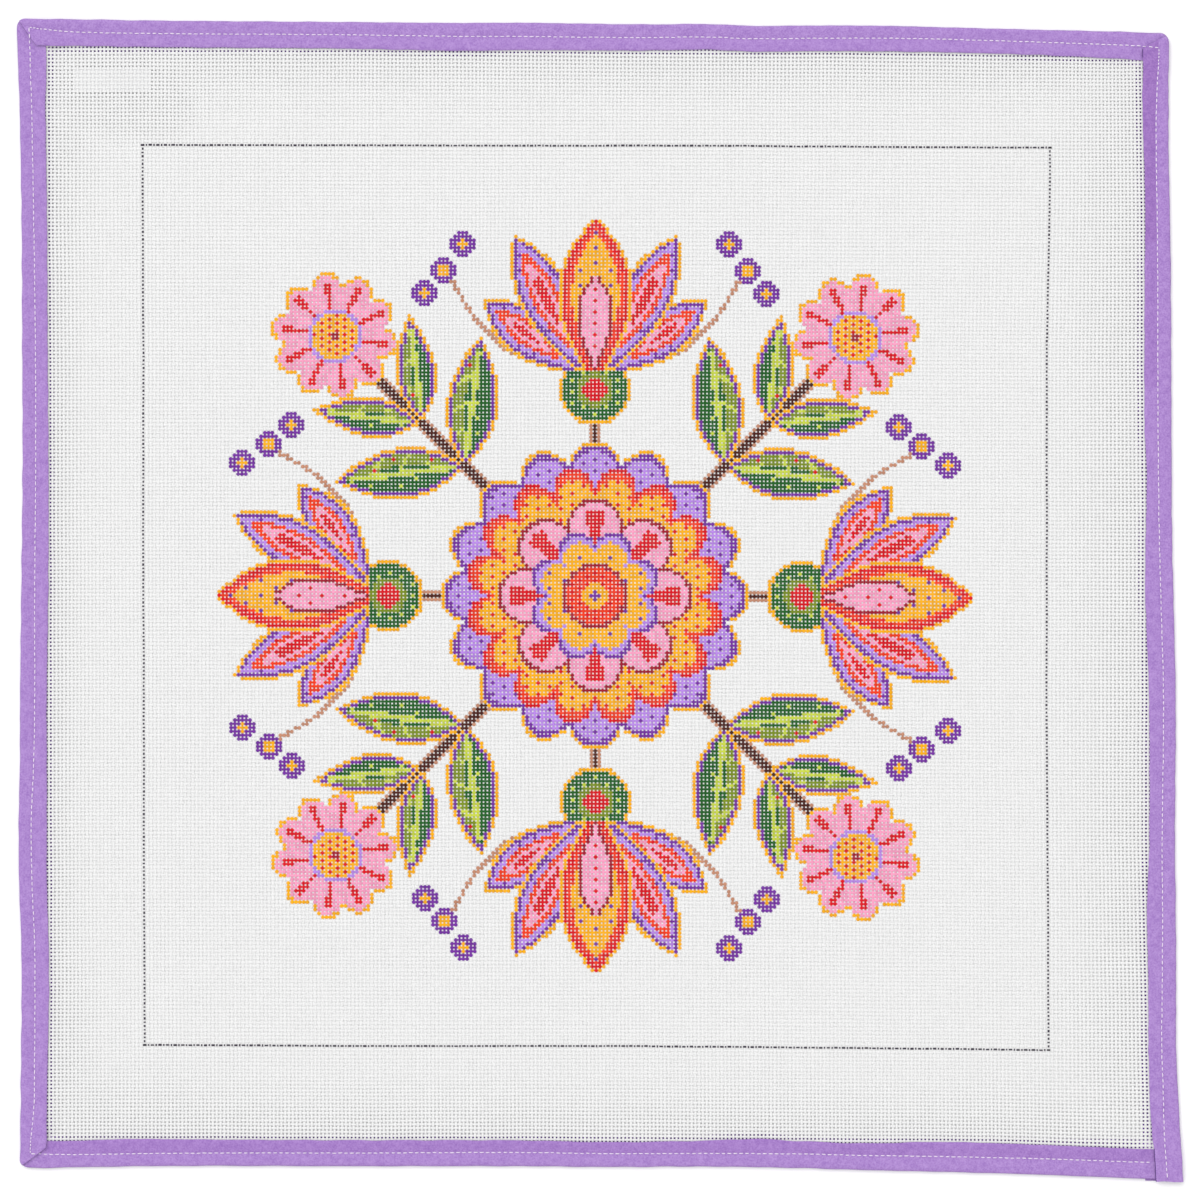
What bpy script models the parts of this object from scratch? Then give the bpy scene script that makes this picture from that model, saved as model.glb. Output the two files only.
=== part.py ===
"""Needlepoint canvas panel, lying face up, its four edges bound with one folded bias tape.

The origin is under the middle of the panel, on the surface that it lies on.
+X runs to the right of the worked face, +Y to its top, and +Z out of it.
Sizes below are in millimetres.
"""

import bpy
import bmesh
import math

MM = 0.001

# Thicknesses and clearances
CANVAS_THICK = 1.0
TAPE_THICK = 1.0
FOLD_THICK = 1.2
GAP = 0.3
LABEL_THICK = 1.0

# Heights: the tape's back leg lies on the surface, then the canvas, then its front leg
RIM_LIFT = TAPE_THICK + GAP
FRONT_BOTTOM = RIM_LIFT + CANVAS_THICK + GAP
FRONT_TOP = FRONT_BOTTOM + TAPE_THICK

# The tape's section: its back leg is a little wider than its front leg
BACK_EXTRA = 2.6
EDGE_ROUND = 0.3
EDGE_DROP = 0.12
EDGE_FACE = 0.4
CHANNEL_DEPTH = 0.35
CHANNEL_HALF = 0.9
FOLD_IN = 1.1
FOLD_SIDE_IN = 0.3
FOLD_DROP = 0.2
FOLD_SIDE_DROP = 0.9
FOLD_SIDE_RISE = 0.7
POCKET_ROUND = 0.3

# Mitres: each side starts on top of the one before it
MITRE_STEP = 0.45
MITRE_FADE = 26.0
MITRE_GAP = 0.3
MITRE_STATIONS = (4.0, 11.0)
CORNER_ROUND = 0.9
CORNER_SPREAD = 2.0
STATION_STEP = 31.0

# Columns: along the side, outer edge from the middle, width of the front leg, seam from the edge
BEYOND = 300.0
LEFT_SIDE = (
    (-296.0, 299.3, 14.0, 6.2),
    (-238.0, 298.8, 14.1, 7.1),
    (-176.0, 298.8, 14.5, 7.0),
    (-114.0, 299.9, 14.7, 6.6),
    (-52.0, 299.3, 14.2, 7.7),
    (10.0, 298.6, 14.2, 7.0),
    (72.0, 298.1, 13.9, 6.9),
    (134.0, 298.2, 13.5, 6.9),
    (196.0, 298.6, 13.6, 6.4),
    (258.0, 299.7, 14.0, 6.3),
    (298.0, 300.9, 14.6, 6.3),
)
TOP_SIDE = (
    (-298.0, 300.0, 14.2, 6.4),
    (-227.0, 299.0, 14.3, 6.8),
    (-134.0, 298.2, 14.3, 6.7),
    (-41.0, 298.0, 14.3, 7.2),
    (52.0, 296.8, 13.9, 6.8),
    (114.0, 296.3, 13.5, 6.7),
    (176.0, 295.5, 13.3, 6.3),
    (222.0, 294.5, 13.5, 6.5),
    (260.0, 293.4, 14.4, 6.9),
    (293.0, 292.3, 14.9, 6.9),
)
RIGHT_SIDE = (
    (-297.0, 300.8, 15.5, 8.6),
    (-258.0, 298.5, 14.9, 7.8),
    (-196.0, 297.3, 14.7, 7.2),
    (-114.0, 296.8, 13.5, 6.6),
    (-52.0, 297.2, 14.0, 6.4),
    (10.0, 295.8, 14.7, 6.6),
    (72.0, 295.0, 13.9, 6.9),
    (134.0, 294.8, 13.9, 7.1),
    (196.0, 294.1, 13.4, 6.7),
    (250.0, 293.5, 13.3, 6.4),
    (290.0, 293.6, 14.0, 6.4),
)
BOTTOM_SIDE = (
    (-298.0, 293.0, 13.9, 6.8),
    (-227.0, 292.2, 14.1, 6.6),
    (-134.0, 292.2, 13.8, 6.9),
    (-41.0, 292.2, 13.6, 7.2),
    (36.0, 292.5, 13.4, 6.8),
    (98.0, 293.2, 14.2, 7.3),
    (160.0, 294.9, 15.0, 7.9),
    (222.0, 296.5, 15.6, 8.3),
    (281.0, 298.7, 16.0, 8.6),
    (300.0, 299.2, 16.0, 8.6),
)
OUTER = 1
WIDTH = 2
SEAM = 3

# Canvas: how far in from the edge its grid lines lie, and where it settles on the surface
CANVAS_EDGE = 1.9
CANVAS_CORNER = 3.0
NOMINAL_OUTER = 297.0
RIM_DEPTHS = (9.0, 18.0, 22.0, 30.0, 41.0, 54.0, 72.0, 98.0)
MIDDLE_LINES = (-150.0, -75.0, 0.0, 75.0, 150.0)
HELD_DEPTH = 18.0
SETTLE_DEPTH = 46.0
CORNER_SETTLE = 46.0
CORNER_REACH = 150.0

# Label under the canvas, near the top left corner
LABEL_CENTRE = (-252.0, 268.6)
LABEL_SIZE = (39.5, 12.6)
LABEL_CORNER = 1.2
LABEL_HELD = (72.0, 41.0)
LABEL_FALL = 26.0

# Raw end of the tape, lapped over its start at the bottom right corner
LAP_LEFT = 286.0
LAP_RIGHT = 300.9
LAP_TOP = -284.0
LAP_BOTTOM = -300.0
LAP_SKEW = 1.0
LAP_FLARE = 0.9
LAP_CORNER_RISE = 0.4
LAP_LOW = 2.95
LAP_HIGH = 4.15
LAP_BEVEL = 0.25


def read_row(table, column, along):
    """Value of one column of a side's table at a place along it, on a smooth curve through the rows."""
    last = len(table) - 1
    k = 0
    while k < last - 1 and table[k + 1][0] < along:
        k += 1
    before = table[max(k - 1, 0)]
    here = table[k]
    there = table[k + 1]
    after = table[min(k + 2, last)]
    t = (along - here[0]) / (there[0] - here[0])
    t = min(max(t, 0.0), 1.0)
    slope_here = 0.5 * (there[column] - before[column])
    slope_there = 0.5 * (after[column] - here[column])
    t2 = t * t
    t3 = t2 * t
    return ((2 * t3 - 3 * t2 + 1) * here[column] + (t3 - 2 * t2 + t) * slope_here
            + (3 * t2 - 2 * t3) * there[column] + (t3 - t2) * slope_there)


def fall(t):
    """1 at t = 0 and 0 at t = 1, level at both ends."""
    t = min(max(t, 0.0), 1.0)
    return 1.0 - t * t * (3.0 - 2.0 * t)


# Sides in the order in which the tape was sewn on: table, direction of travel, inward direction
SIDES = (
    (BOTTOM_SIDE, (-1.0, 0.0), (0.0, 1.0)),
    (LEFT_SIDE, (0.0, 1.0), (1.0, 0.0)),
    (TOP_SIDE, (1.0, 0.0), (0.0, -1.0)),
    (RIGHT_SIDE, (0.0, -1.0), (-1.0, 0.0)),
)


def corner_point(index):
    """Outer corner at which side number index starts."""
    here = SIDES[index]
    before = SIDES[index - 1]
    place = [0.0, 0.0]
    for side, other in ((here, before), (before, here)):
        table, travel, inward = side
        beyond = -BEYOND * (other[2][0] + other[2][1])
        outer = read_row(table, OUTER, beyond)
        place[0] -= inward[0] * outer
        place[1] -= inward[1] * outer
    return place


def profile(width, seam, raised):
    """The folded tape's section: (depth in from the outer fold, height), counter-clockwise."""
    back = width + BACK_EXTRA
    top = FRONT_TOP + raised
    middle = 0.5 * top
    return (
        (width, FRONT_BOTTOM),
        (width, top - EDGE_FACE),
        (width - EDGE_ROUND, top - EDGE_DROP),
        (0.5 * (width + seam), top),
        (seam + CHANNEL_HALF, top - EDGE_DROP),
        (seam, top - CHANNEL_DEPTH),
        (seam - CHANNEL_HALF, top - EDGE_DROP),
        (0.5 * seam, top),
        (FOLD_IN, top - FOLD_DROP),
        (FOLD_SIDE_IN, top - FOLD_SIDE_DROP),
        (0.0, middle),
        (FOLD_SIDE_IN, FOLD_SIDE_RISE),
        (FOLD_IN, 0.0),
        (back - EDGE_ROUND, 0.0),
        (back, EDGE_ROUND),
        (back, TAPE_THICK),
        (FOLD_THICK + POCKET_ROUND, TAPE_THICK),
        (FOLD_THICK, TAPE_THICK + POCKET_ROUND),
        (FOLD_THICK, FRONT_BOTTOM - POCKET_ROUND),
        (FOLD_THICK + POCKET_ROUND, FRONT_BOTTOM),
    )


def rounded(depth):
    """Depth along a mitre, with the outer corner drawn in."""
    return depth + CORNER_ROUND * math.exp(-depth / CORNER_SPREAD)


def station_runs(length):
    """Distances along one side at which the tape has a section, close together by its mitres."""
    middle = length - 2 * MITRE_FADE
    count = round(middle / STATION_STEP)
    near = (MITRE_GAP,) + MITRE_STATIONS + (MITRE_FADE,)
    runs = list(near)
    runs += [MITRE_FADE + middle * k / count for k in range(1, count)]
    runs += [length - run for run in reversed(near)]
    return runs


def ring_sections():
    """All sections of the tape, in order around the panel."""
    sections = []
    for index, (table, travel, inward) in enumerate(SIDES):
        axis = 0 if travel[0] else 1
        start = corner_point(index)
        end = corner_point((index + 1) % len(SIDES))
        length = abs(end[axis] - start[axis])
        for run in station_runs(length):
            base = start[axis] + travel[axis] * run
            outer = read_row(table, OUTER, base)
            width = read_row(table, WIDTH, base)
            seam = read_row(table, SEAM, base)
            raised = MITRE_STEP * fall(run / MITRE_FADE) if index > 0 else 0.0
            shear_start = max(0.0, 1.0 - run / MITRE_FADE)
            shear_end = max(0.0, 1.0 - (length - run) / MITRE_FADE)
            at_corner = min(run, length - run) <= MITRE_GAP
            ring = []
            for depth, height in profile(width, seam, raised):
                deep = rounded(depth) if at_corner else depth
                shift = run + deep * (shear_start - shear_end)
                point = [0.0, 0.0, height]
                point[axis] = start[axis] + travel[axis] * shift
                point[1 - axis] = -inward[1 - axis] * (outer - deep)
                ring.append(point)
            sections.append(ring)
    return sections


def make_material(name, colour, roughness):
    material = bpy.data.materials.new(name)
    material.use_nodes = True
    shader = material.node_tree.nodes["Principled BSDF"]
    shader.inputs["Base Color"].default_value = colour
    shader.inputs["Roughness"].default_value = roughness
    shader.inputs["Metallic"].default_value = 0.0
    return material


def make_object(name, points, faces, material):
    """A closed mesh object from points in millimetres."""
    mesh = bpy.data.meshes.new(name)
    mesh.from_pydata([(x * MM, y * MM, z * MM) for x, y, z in points], [], faces)
    bm = bmesh.new()
    bm.from_mesh(mesh)
    bmesh.ops.recalc_face_normals(bm, faces=bm.faces)
    bm.to_mesh(mesh)
    bm.free()
    mesh.materials.append(material)
    mesh.shade_smooth()
    mesh.set_sharp_from_angle(angle=math.radians(40.0))
    item = bpy.data.objects.new(name, mesh)
    bpy.context.scene.collection.objects.link(item)
    return item


def make_lap():
    """The raw end of the tape: a plate over the bottom right corner, flared past the outline."""
    outline = (
        (LAP_LEFT, LAP_TOP),
        (LAP_LEFT + LAP_SKEW, LAP_BOTTOM + LAP_CORNER_RISE),
        (0.5 * (LAP_LEFT + LAP_RIGHT), LAP_BOTTOM),
        (LAP_RIGHT, LAP_BOTTOM + LAP_CORNER_RISE),
        (LAP_RIGHT - LAP_FLARE, LAP_TOP),
    )
    low = [(x, y, LAP_LOW) for x, y in outline]
    high = [(x, y, LAP_HIGH) for x, y in outline]
    count = len(outline)
    faces = [tuple(range(count - 1, -1, -1)), tuple(range(count, 2 * count))]
    for k in range(count):
        after = (k + 1) % count
        faces.append((k, after, count + after, count + k))
    return low + high, faces


def make_binding():
    tape = make_material("tape", (0.45, 0.27, 0.65, 1.0), 0.85)
    sections = ring_sections()
    points = []
    for ring in sections:
        points += ring
    size = len(sections[0])
    total = len(sections)
    faces = []
    for s in range(total):
        for k in range(size):
            a = s * size + k
            b = s * size + (k + 1) % size
            c = ((s + 1) % total) * size + (k + 1) % size
            d = ((s + 1) % total) * size + k
            faces.append((a, b, c, d))
    binding = make_object("binding", points, faces, tape)
    lap_points, lap_faces = make_lap()
    lap = make_object("lap_cutter", lap_points, lap_faces, tape)
    bevel = lap.modifiers.new("edge", "BEVEL")
    bevel.width = LAP_BEVEL * MM
    bevel.segments = 1
    bevel.limit_method = "ANGLE"
    lap.hide_render = True
    lap.display_type = "WIRE"
    union = binding.modifiers.new("lap", "BOOLEAN")
    union.operation = "UNION"
    union.solver = "EXACT"
    union.object = lap
    return binding


def canvas_lift(left, right, bottom, top):
    """Height of the canvas's underside, from its distances to the four outer edges."""
    nearest = min(left, right, bottom, top)
    near_top_left = fall(math.hypot(left, top) / CORNER_REACH)
    near_bottom_right = fall(math.hypot(right, bottom) / CORNER_REACH)
    settle = SETTLE_DEPTH + CORNER_SETTLE * (near_top_left + near_bottom_right)
    rim = fall((nearest - HELD_DEPTH) / (settle - HELD_DEPTH))
    over_label = (fall((left - LABEL_HELD[0]) / LABEL_FALL)
                  * fall((top - LABEL_HELD[1]) / LABEL_FALL))
    return RIM_LIFT * max(rim, over_label)


def grid_line(kind, value, low, high):
    """Place of one grid line between the outer edges at -low and +high."""
    if kind == "low":
        return -low + value
    if kind == "high":
        return high - value
    return value


def make_canvas():
    linen = make_material("canvas", (0.84, 0.84, 0.85, 1.0), 0.8)
    depths = (CANVAS_EDGE,) + RIM_DEPTHS
    lines = [("low", d) for d in depths]
    lines += [("middle", m) for m in MIDDLE_LINES]
    lines += [("high", d) for d in reversed(depths)]
    count = len(lines)
    plan = []
    for row_kind, row_value in lines:
        for column_kind, column_value in lines:
            guess_x = grid_line(column_kind, column_value, NOMINAL_OUTER, NOMINAL_OUTER)
            guess_y = grid_line(row_kind, row_value, NOMINAL_OUTER, NOMINAL_OUTER)
            left = read_row(LEFT_SIDE, OUTER, guess_y)
            right = read_row(RIGHT_SIDE, OUTER, guess_y)
            bottom = read_row(BOTTOM_SIDE, OUTER, guess_x)
            top = read_row(TOP_SIDE, OUTER, guess_x)
            x = grid_line(column_kind, column_value, left, right)
            y = grid_line(row_kind, row_value, bottom, top)
            if column_value == CANVAS_EDGE and row_value == CANVAS_EDGE:
                inset = CANVAS_CORNER - CANVAS_EDGE
                x -= math.copysign(inset, x)
                y -= math.copysign(inset, y)
            lift = canvas_lift(x + left, right - x, y + bottom, top - y)
            plan.append((x, y, lift))
    points = [(x, y, lift) for x, y, lift in plan]
    points += [(x, y, lift + CANVAS_THICK) for x, y, lift in plan]
    upper = len(plan)
    faces = []
    for j in range(count - 1):
        for i in range(count - 1):
            a = j * count + i
            b = a + 1
            c = a + count + 1
            d = a + count
            faces.append((a, d, c, b))
            faces.append((upper + a, upper + b, upper + c, upper + d))
    rim = list(range(count))
    rim += [count - 1 + j * count for j in range(1, count)]
    rim += [(count - 1) * count + i for i in range(count - 2, -1, -1)]
    rim += [j * count for j in range(count - 2, 0, -1)]
    for k, a in enumerate(rim):
        b = rim[(k + 1) % len(rim)]
        faces.append((a, b, upper + b, upper + a))
    return make_object("canvas", points, faces, linen)


def make_label():
    paper = make_material("label", (0.93, 0.93, 0.93, 1.0), 0.7)
    half_x = 0.5 * LABEL_SIZE[0]
    half_y = 0.5 * LABEL_SIZE[1]
    outline = []
    for turn in range(4):
        sign_x = (1, -1, -1, 1)[turn]
        sign_y = (1, 1, -1, -1)[turn]
        for step in range(4):
            angle = math.radians(90.0 * turn + 30.0 * step)
            x = LABEL_CENTRE[0] + sign_x * (half_x - LABEL_CORNER) + LABEL_CORNER * math.cos(angle)
            y = LABEL_CENTRE[1] + sign_y * (half_y - LABEL_CORNER) + LABEL_CORNER * math.sin(angle)
            outline.append((x, y))
    count = len(outline)
    points = [(x, y, 0.0) for x, y in outline] + [(x, y, LABEL_THICK) for x, y in outline]
    faces = [tuple(range(count - 1, -1, -1)), tuple(range(count, 2 * count))]
    for k in range(count):
        after = (k + 1) % count
        faces.append((k, after, count + after, count + k))
    return make_object("label", points, faces, paper)


def main():
    for item in list(bpy.data.objects):
        bpy.data.objects.remove(item, do_unlink=True)
    make_canvas()
    make_binding()
    make_label()


main()
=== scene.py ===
import bpy
import math
import numpy as np
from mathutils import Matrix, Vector
from mathutils.bvhtree import BVHTree


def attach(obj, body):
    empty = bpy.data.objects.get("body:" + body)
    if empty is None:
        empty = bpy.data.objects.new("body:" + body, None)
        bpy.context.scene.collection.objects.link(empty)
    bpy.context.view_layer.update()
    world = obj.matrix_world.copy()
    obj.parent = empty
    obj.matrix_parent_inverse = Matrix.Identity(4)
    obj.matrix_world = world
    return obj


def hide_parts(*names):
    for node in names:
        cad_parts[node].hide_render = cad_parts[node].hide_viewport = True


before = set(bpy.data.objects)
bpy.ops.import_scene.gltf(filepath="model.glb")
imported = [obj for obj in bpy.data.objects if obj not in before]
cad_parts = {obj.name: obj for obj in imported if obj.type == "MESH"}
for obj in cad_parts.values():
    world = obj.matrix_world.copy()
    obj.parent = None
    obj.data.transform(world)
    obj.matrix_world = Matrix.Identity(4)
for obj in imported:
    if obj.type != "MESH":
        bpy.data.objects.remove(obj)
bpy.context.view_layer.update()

MM = 0.001

# Sides of the panel in millimetres, read more closely than in the part's source
# Columns: along the side, outer edge from the middle, width of the front leg, seam from the edge
LEFT_SIDE = (
    (-296, 299.3, 13.9, 5.6),
    (-279, 299.1, 13.8, 5.6),
    (-262, 298.9, 13.6, 7.0),
    (-238, 298.7, 13.8, 7.1),
    (-206, 298.4, 14.2, 7.0),
    (-176, 298.6, 14.2, 7.0),
    (-146, 299.7, 14.4, 6.8),
    (-114, 299.9, 14.6, 6.6),
    (-86, 299.3, 14.0, 7.2),
    (-52, 299.2, 13.8, 7.7),
    (10, 298.5, 14.0, 7.0),
    (72, 297.9, 13.5, 6.9),
    (134, 298.1, 13.2, 6.9),
    (196, 298.4, 13.2, 6.4),
    (258, 299.5, 13.5, 6.3),
    (272, 300.1, 14.6, 6.4),
    (298, 300.9, 14.9, 6.5),
)
TOP_SIDE = (
    (-298, 300.0, 14.1, 4.3),
    (-286, 299.7, 14.1, 5.5),
    (-270, 299.6, 13.9, 6.7),
    (-227, 298.9, 13.8, 6.8),
    (-134, 298.2, 13.8, 6.7),
    (-72, 297.7, 14.5, 7.0),
    (-41, 297.8, 14.2, 7.2),
    (20, 297.0, 13.6, 7.0),
    (58, 297.1, 13.3, 6.8),
    (78, 296.2, 13.4, 6.8),
    (114, 296.4, 13.3, 6.7),
    (148, 296.2, 13.3, 6.5),
    (176, 295.5, 13.0, 6.3),
    (222, 294.3, 13.1, 6.5),
    (260, 293.4, 13.9, 6.9),
    (279, 292.8, 14.4, 7.1),
    (293, 292.3, 14.7, 8.2),
)
RIGHT_SIDE = (
    (-300, 301.0, 14.5, 8.2),
    (-284, 299.9, 14.3, 8.5),
    (-270, 299.1, 14.9, 8.3),
    (-258, 298.4, 14.8, 7.8),
    (-230, 297.2, 14.3, 7.5),
    (-196, 297.2, 14.4, 7.2),
    (-158, 297.0, 14.9, 6.9),
    (-126, 296.6, 13.3, 6.7),
    (-52, 297.0, 13.8, 6.4),
    (4, 295.8, 14.6, 6.6),
    (34, 295.1, 13.6, 6.7),
    (66, 294.9, 12.9, 6.9),
    (88, 294.8, 13.9, 7.0),
    (164, 294.5, 13.6, 6.9),
    (200, 294.0, 12.8, 6.7),
    (228, 293.4, 12.8, 6.5),
    (252, 293.3, 13.5, 6.4),
    (280, 293.4, 13.4, 5.3),
    (290, 293.5, 13.8, 5.0),
)
BOTTOM_SIDE = (
    (-298, 293.0, 13.9, 7.9),
    (-286, 292.9, 13.9, 7.1),
    (-270, 292.7, 13.8, 6.7),
    (-244, 292.2, 14.2, 6.6),
    (-200, 291.9, 13.6, 6.7),
    (-134, 292.1, 13.5, 6.9),
    (-41, 292.1, 13.4, 7.2),
    (4, 292.5, 12.9, 7.0),
    (52, 292.3, 13.4, 6.9),
    (80, 292.6, 14.7, 7.1),
    (104, 293.1, 14.0, 7.4),
    (136, 294.1, 13.9, 7.7),
    (176, 295.0, 15.5, 8.0),
    (222, 296.3, 15.5, 8.3),
    (250, 297.4, 15.5, 8.5),
    (281, 298.6, 15.4, 8.6),
    (300, 299.2, 15.8, 8.6),
)
OUTER = 1
WIDTH = 2
SEAM = 3

# Canvas: how it hangs from the tape and settles on the surface
RIM_LIFT = 1.3
FLAT_LIFT = 0.08
HELD_DEPTH = 16.6
SETTLE_LENGTH = {"left": 5.5, "top": 9.0, "right": 18.0, "bottom": 10.0}
CORNER_LENGTH = 9.0
LOOSE_CORNER = 1.4
CORNER_REACH = 150.0
FLAT_DEPTH = 105.0
CANVAS_EDGE = 2.2

# Threads of the canvas, in crossings
HALF = 119
U_FIRST = -146
U_LAST = 147
V_FIRST = -146
V_LAST = 146
THREAD_HALF = 0.275
THREAD_MIDDLE = 0.28
THREAD_RISE = 0.095
PITCH_U = 1.957
PITCH_V = 1.952
START_U = -2.6
START_V = 2.2

# Place of the frame line: along, from the middle
FRAME_TOP = ((-221.6, 234.9), (-42.0, 234.5), (47.7, 234.5), (137.5, 233.9), (227.3, 233.5))
FRAME_BOTTOM = ((-221.6, -229.7), (-131.8, -230.2), (2.8, -230.2), (92.6, -230.8),
                (182.4, -231.8), (227.3, -232.4))
FRAME_LEFT = ((-227.3, -235.0), (-137.5, -235.4), (-47.7, -235.5), (42.0, -235.8),
              (131.8, -235.7), (221.6, -236.1))
FRAME_RIGHT = ((-227.3, 231.5), (-137.5, 231.0), (-47.7, 230.4), (42.0, 230.6),
               (131.8, 230.5), (176.7, 231.5), (221.6, 232.3))

# Place of one row of holes near each side: along, from the middle
OUTER_LEFT = ((-200, -273.3), (-120, -273.5), (-40, -273.6), (40, -273.7),
              (120, -273.8), (200, -274.3), (280, -274.5))
OUTER_RIGHT = ((-270, 276.3), (-200, 275.2), (-120, 273.7), (-40, 273.8), (40, 274.0),
               (120, 273.5), (200, 273.6), (270, 272.9))
OUTER_TOP = ((-200, 273.3), (-120, 273.2), (-40, 272.7), (40, 272.2), (120, 272.0),
             (200, 271.1), (270, 270.6))
OUTER_BOTTOM = ((-200, -273.2), (-120, -273.5), (-40, -273.4), (40, -273.8),
                (120, -274.3), (200, -274.7), (270, -276.6))

# Label behind the canvas
LABEL_CENTRE = (-252.0, 268.6)
LABEL_SIZE = (39.5, 12.6)
LABEL_CORNER = 1.2
LABEL_HELD = (72.0, 41.0)
LABEL_FALL = 26.0
LABEL_TOP = 1.42
LABEL_THICK = 0.22

# Painted colours
(NONE, YELLOW, RED, ORANGE, VIOLET, LILAC, PINK,
 CRIMSON, LIME, OLIVE, GREEN, TAN, BROWN) = range(13)
SHADES = 3


def linear(red, green, blue):
    """Linear colour from display values of 0 to 255."""
    out = []
    for value in (red, green, blue):
        part = value / 255.0
        out.append(part / 12.92 if part <= 0.04045 else ((part + 0.055) / 1.055) ** 2.4)
    return out


# How much light the panel gets: display white is reached by a surface of 1 / LIGHT
LIGHT = 1.3
PALEST = 0.93


def lit(red, green, blue):
    """Surface colour that the panel's light shows as these display values."""
    return [part / LIGHT for part in linear(red, green, blue)]


PAINTS = (
    ("bare", (246, 246, 246)),
    ("yellow", (255, 180, 0)),
    ("red", (224, 4, 26)),
    ("orange", (246, 60, 18)),
    ("violet", (120, 46, 164)),
    ("lilac", (186, 138, 232)),
    ("pink", (250, 162, 197)),
    ("crimson", (164, 14, 46)),
    ("lime", (203, 216, 72)),
    ("olive", (128, 148, 26)),
    ("green", (30, 98, 36)),
    ("tan", (200, 142, 114)),
    ("brown", (78, 30, 22)),
)

# Chart of the painted motif, one place for each crossing, folded eight ways about the middle
# A and B lie along the axes, S and T are the larger and the smaller, D and E run along a diagonal
rows = np.arange(-HALF, HALF + 1)
P, Q = np.meshgrid(rows, rows, indexing="ij")
chart = np.zeros(P.shape, dtype=int)
A = np.abs(P)
B = np.abs(Q)
S = np.maximum(A, B).astype(float)
T = np.minimum(A, B).astype(float)
D = (A + B) / math.sqrt(2.0)
E = np.abs(A - B) / math.sqrt(2.0)
RADIUS = np.hypot(P, Q)
ANGLE = np.arctan2(T, S)


def paint(mask, colour):
    chart[mask] = colour


def dots(mask, step, colour, shift=0):
    """Single painted crossings, staggered, step apart."""
    lines = (A + shift) // step
    on = (A + shift) % step == 0
    on = on & ((B + shift + step // 2 * (lines % 2)) % step == 0)
    paint(mask & on, colour)


def bands(depth, layers):
    """Paints a shape from its edge inwards: each layer starts this deep, in this colour."""
    for start, colour in layers:
        paint(depth > start, colour)


def petal(u, v, place, turn, length, width, peak=0.5, point=1.0):
    """Depth in from a petal's edge, in crossings, and how far along and across each crossing lies."""
    angle = math.radians(turn)
    du = u - place[0]
    dv = v - place[1]
    along = (du * math.cos(angle) + dv * math.sin(angle)) / length
    across = dv * math.cos(angle) - du * math.sin(angle)
    t = np.clip(along, 0.0, 1.0)
    power = math.log(0.5) / math.log(peak)
    half = 0.5 * width * np.sin(math.pi * t ** power) ** point
    depth = np.where((along <= 0.0) | (along >= 1.0), -1.0, half - np.abs(across))
    return depth, along, across


def ring_edge(count, radius, drop, power, half_turn=False):
    """Radius of a ring of petals at each crossing's angle."""
    phase = 0.5 * count * ANGLE + (0.5 * math.pi if half_turn else 0.0)
    return radius - drop * (1.0 - np.abs(np.cos(phase)) ** power)


def leaf(u, v, place, turn, length, width):
    depth, along, across = petal(u, v, place, turn, length, width, 0.45, 0.85)
    bands(depth, ((0.0, YELLOW), (1.0, VIOLET), (1.9, GREEN)))
    inner = depth > 1.9
    dots(inner & (across > 0.0), 4, LIME, 1)
    paint(inner & (across < 0.0) & (depth < 0.26 * width + 1.0), OLIVE)
    paint(inner & (np.abs(across) < 0.75) & (along < 0.86), LIME)
    rib = np.abs((along * length + np.abs(across) * 0.9) % 7.0 - 3.5) < 0.62
    paint(inner & rib & (np.abs(across) > 1.5) & (across < 0.0), LIME)
    dots(inner & (across < -1.5), 5, RED, 2)


def stalk(u, v, start, end, half_width, bend=0.0, core=0.0):
    """A stem between two places, bowed by bend, with a dark core."""
    dx = end[0] - start[0]
    dy = end[1] - start[1]
    length = math.hypot(dx, dy)
    t = ((u - start[0]) * dx + (v - start[1]) * dy) / (length * length)
    off = ((v - start[1]) * dx - (u - start[0]) * dy) / length
    off = off - bend * np.sin(math.pi * np.clip(t, 0.0, 1.0))
    on = (t >= 0.0) & (t <= 1.0)
    paint(on & (np.abs(off) <= half_width), TAN)
    paint(on & (np.abs(off) < core), BROWN)


def daisy(u, v, place, radius, count):
    du = u - place[0]
    dv = v - place[1]
    r = np.hypot(du, dv)
    angle = np.arctan2(dv, du)
    edge = radius - 0.26 * radius * (1.0 - np.abs(np.cos(0.5 * count * angle)) ** 0.6)
    bands(edge - r, ((0.0, YELLOW), (1.05, PINK)))
    spoke = np.abs(np.sin(0.5 * count * angle)) * r
    paint((r < edge - 2.6) & (spoke < 0.34 * r) & (r > 0.36 * radius), RED)
    heart = 0.42 * radius
    bands(heart - r, ((0.0, LILAC), (1.0, YELLOW)))
    dots(r < heart - 1.6, 2, RED)
    paint(r < 1.1, CRIMSON)


def berry(u, v, place, radius):
    r = np.hypot(u - place[0], v - place[1])
    bands(radius - r, ((0.0, VIOLET), (1.9, YELLOW)))


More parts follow.
